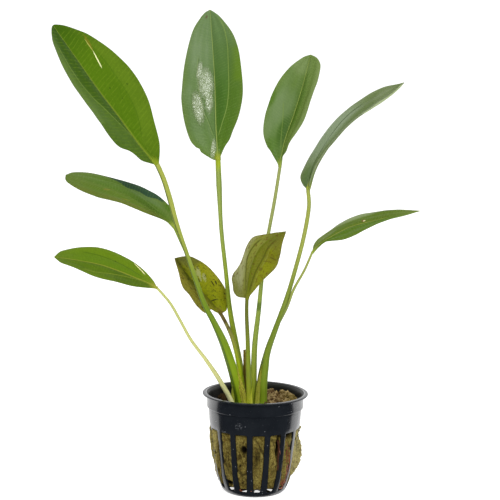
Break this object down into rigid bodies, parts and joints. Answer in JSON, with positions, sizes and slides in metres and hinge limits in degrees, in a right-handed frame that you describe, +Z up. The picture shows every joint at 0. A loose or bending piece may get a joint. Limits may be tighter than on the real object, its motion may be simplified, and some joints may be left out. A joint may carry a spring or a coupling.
{
  "type": "potted aquarium plant",
  "caption": "Broad-leaved sword plant on long slender stalks, rooted in mineral wool in a round slotted net pot.",
  "frame": {"origin": "centre of the pot's round underside, on the surface that the pot stands on", "axes": "+Z up the pot's axis, +X to the right and +Y away from the viewer of the picture"},
  "size_m": [0.182, 0.0745, 0.25],
  "materials": {
    "net_pot": "satin black injection-moulded polypropylene",
    "rock_wool": "matt ochre brown mineral fibre, moist and dirty",
    "crown": "dull brown rootstock",
    "leaf_upper_left": "smooth waxy leaf with a satin gloss and fine veins",
    "stalk_upper_left": "smooth fleshy stalk",
    "leaf_top": "smooth waxy leaf with a satin gloss and fine veins",
    "stalk_top": "smooth fleshy stalk",
    "leaf_upper_right": "smooth waxy leaf with a satin gloss and fine veins",
    "stalk_upper_right": "smooth fleshy stalk",
    "leaf_arching_right": "smooth waxy leaf with a satin gloss and fine veins",
    "stalk_arching_right": "smooth fleshy stalk",
    "leaf_low_right": "smooth waxy leaf with a satin gloss and fine veins",
    "stalk_low_right": "smooth fleshy stalk",
    "leaf_mid_left": "smooth waxy leaf with a satin gloss and fine veins",
    "stalk_mid_left": "smooth fleshy stalk",
    "leaf_low_left": "smooth waxy leaf with a satin gloss and fine veins",
    "stalk_low_left": "smooth fleshy stalk",
    "leaf_old_left": "smooth waxy leaf with a satin gloss and fine veins",
    "stalk_old_left": "smooth fleshy stalk",
    "leaf_old_centre": "smooth waxy leaf with a satin gloss and fine veins",
    "stalk_old_centre": "smooth fleshy stalk",
    "cut_stump": "dull brown dead stalk",
    "root_1": "dull red-brown root",
    "root_2": "dull red-brown root",
    "root_3": "dull red-brown root"
  },
  "bodies": {
    "root": {"net_pot": "net_pot", "rock_wool": "rock_wool", "crown": "crown", "leaf_upper_left": "leaf_upper_left", "stalk_upper_left": "stalk_upper_left", "leaf_top": "leaf_top", "stalk_top": "stalk_top", "leaf_upper_right": "leaf_upper_right", "stalk_upper_right": "stalk_upper_right", "leaf_arching_right": "leaf_arching_right", "stalk_arching_right": "stalk_arching_right", "leaf_low_right": "leaf_low_right", "stalk_low_right": "stalk_low_right", "leaf_mid_left": "leaf_mid_left", "stalk_mid_left": "stalk_mid_left", "leaf_low_left": "leaf_low_left", "stalk_low_left": "stalk_low_left", "leaf_old_left": "leaf_old_left", "stalk_old_left": "stalk_old_left", "leaf_old_centre": "leaf_old_centre", "stalk_old_centre": "stalk_old_centre", "cut_stump": "cut_stump", "root_1": "root_1", "root_2": "root_2", "root_3": "root_3"}
  },
  "joints": []
}
